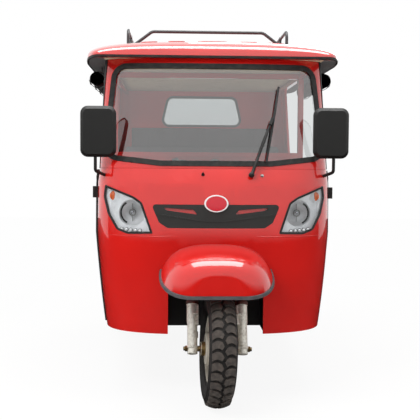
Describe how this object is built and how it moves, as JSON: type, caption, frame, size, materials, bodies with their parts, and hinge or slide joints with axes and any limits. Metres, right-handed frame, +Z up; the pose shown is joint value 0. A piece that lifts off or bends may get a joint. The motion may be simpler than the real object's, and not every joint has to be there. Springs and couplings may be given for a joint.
{
  "type": "auto rickshaw",
  "caption": "Three-wheeled passenger motor tricycle with a closed front cowl, open doorways, a hard roof with a luggage rack and a fork-steered front wheel.",
  "frame": {"origin": "on the ground, in the middle of the overall length and width", "axes": "+Z up, -Y towards the nose, +X towards the vehicle's left"},
  "size_m": [1.4424, 2.9415, 2.09],
  "materials": {
    "red_paint": "gloss",
    "black_paint": "satin",
    "frame_paint": "satin",
    "rack_paint": "satin",
    "black_rubber": "matte",
    "grey_rubber": "matte",
    "clear_glass": "gloss",
    "lamp_lens": "gloss",
    "lamp_black": "gloss",
    "reflector": "mirror",
    "grille_plastic": "satin",
    "emblem_metal": "gloss",
    "mirror_plastic": "satin",
    "mirror_glass": "mirror",
    "headlining": "matte",
    "grey_plastic": "satin",
    "seat_vinyl": "satin",
    "curtain_vinyl": "satin",
    "webbing": "matte",
    "fork_alloy": "satin",
    "stanchion_chrome": "gloss",
    "zinc_steel": "satin",
    "cast_grey": "matte",
    "tyre_rubber": "matte",
    "wheel_paint": "satin",
    "red_lens": "gloss"
  },
  "bodies": {
    "chassis": {"front_cowl": "red_paint", "screen_frame": "red_paint", "snout": "red_paint", "snout_lip": "grey_rubber", "window_seals": "black_rubber", "window_glass": "clear_glass", "wheel_well": "black_paint", "chassis_frame": "frame_paint", "floor_pan": "black_paint", "sill_panels": "red_paint", "cowl_trims": "black_rubber", "headlamp_housings": "lamp_black", "headlamp_reflectors": "reflector", "headlamp_lenses": "lamp_lens", "grille": "grille_plastic", "emblem_disc": "emblem_metal", "mirrors": "mirror_plastic", "mirror_glasses": "mirror_glass", "wiper": "black_paint", "roof_panel": "red_paint", "roof_lining": "headlining", "drip_edge": "black_rubber", "roof_rack": "rack_paint", "quarter_panels": "red_paint", "rear_panel": "red_paint", "cab_frame": "red_paint", "partition": "red_paint", "seat_bases": "black_paint", "driver_seat": "seat_vinyl", "bench_seat": "seat_vinyl", "dashboard": "grey_plastic", "rolled_curtains": "curtain_vinyl", "curtain_straps": "webbing", "rear_axle": "cast_grey", "rear_suspension": "black_paint", "engine": "cast_grey", "prop_shaft": "cast_grey", "fuel_tank": "black_paint", "exhaust": "cast_grey", "rear_arches": "black_paint", "tail_lamps": "red_lens", "rear_bumper": "black_paint"},
    "steering": {"fork_crown": "black_paint", "fork_stanchions": "stanchion_chrome", "fork_sliders": "fork_alloy", "front_axle": "zinc_steel", "handlebar": "black_paint", "grips": "black_rubber"},
    "front_wheel": {"front_tyre": "tyre_rubber", "front_rim": "wheel_paint"},
    "rear_wheel_left": {"rear_tyre_left": "tyre_rubber", "rear_rim_left": "wheel_paint"},
    "rear_wheel_right": {"rear_tyre_right": "tyre_rubber", "rear_rim_right": "wheel_paint"}
  },
  "joints": [
    {"name": "steering_turn", "type": "hinge", "parent": "chassis", "child": "steering", "pos_m": [0, -1.14475, 0.2731], "axis": [0, 0.4226, 0.9063], "range_deg": [-40, 32]},
    {"name": "front_wheel_roll", "type": "hinge", "parent": "steering", "child": "front_wheel", "pos_m": [0.00279, -1.18091, 0.28996], "axis": [0.9976, 0.0632, -0.0295], "continuous": true},
    {"name": "rear_left_roll", "type": "hinge", "parent": "chassis", "child": "rear_wheel_left", "pos_m": [0.575, 0.899, 0.29], "axis": [1, 0, 0], "continuous": true},
    {"name": "rear_right_roll", "type": "hinge", "parent": "chassis", "child": "rear_wheel_right", "pos_m": [-0.575, 0.899, 0.29], "axis": [1, 0, 0], "continuous": true}
  ]
}
